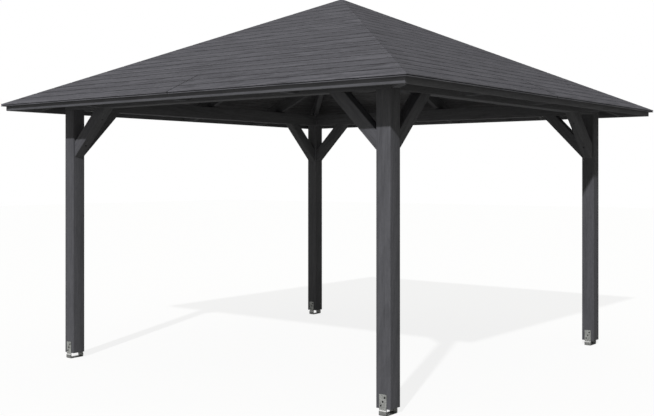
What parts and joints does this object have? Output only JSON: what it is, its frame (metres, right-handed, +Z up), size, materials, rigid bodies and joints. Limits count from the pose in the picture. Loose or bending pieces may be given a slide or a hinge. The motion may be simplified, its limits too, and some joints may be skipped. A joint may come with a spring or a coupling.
{
  "type": "garden gazebo",
  "caption": "Square open timber gazebo: posts in steel shoes, knee-braced beams and a hipped roof of level boards on rafters.",
  "frame": {"origin": "on the ground under the middle of the square plan", "axes": "+Z up, -Y the front side, +X the right side seen from the front"},
  "size_m": [4.3, 4.3, 3.2536],
  "materials": {
    "frame_timber": "anthracite stain, satin",
    "roof_boards": "anthracite stain, satin",
    "galvanised_steel": "hot-dip galvanised, dull"
  },
  "bodies": {
    "root": {"post_front_right": "frame_timber", "post_back_right": "frame_timber", "post_back_left": "frame_timber", "post_front_left": "frame_timber", "shoe_front_right": "galvanised_steel", "shoe_back_right": "galvanised_steel", "shoe_back_left": "galvanised_steel", "shoe_front_left": "galvanised_steel", "beam_front": "frame_timber", "beam_right": "frame_timber", "beam_back": "frame_timber", "beam_left": "frame_timber", "brace_front_left": "frame_timber", "brace_front_right": "frame_timber", "brace_right_front": "frame_timber", "brace_right_back": "frame_timber", "brace_back_right": "frame_timber", "brace_back_left": "frame_timber", "brace_left_back": "frame_timber", "brace_left_front": "frame_timber", "hip_front_right": "frame_timber", "hip_back_right": "frame_timber", "hip_back_left": "frame_timber", "hip_front_left": "frame_timber", "rafter_front_left": "frame_timber", "rafter_front_middle": "frame_timber", "rafter_front_right": "frame_timber", "rafter_right_front": "frame_timber", "rafter_right_middle": "frame_timber", "rafter_right_back": "frame_timber", "rafter_back_right": "frame_timber", "rafter_back_middle": "frame_timber", "rafter_back_left": "frame_timber", "rafter_left_back": "frame_timber", "rafter_left_middle": "frame_timber", "rafter_left_front": "frame_timber", "fascia_front": "frame_timber", "fascia_right": "frame_timber", "fascia_back": "frame_timber", "fascia_left": "frame_timber", "roof_front": "roof_boards", "roof_right": "roof_boards", "roof_back": "roof_boards", "roof_left": "roof_boards"}
  },
  "joints": []
}
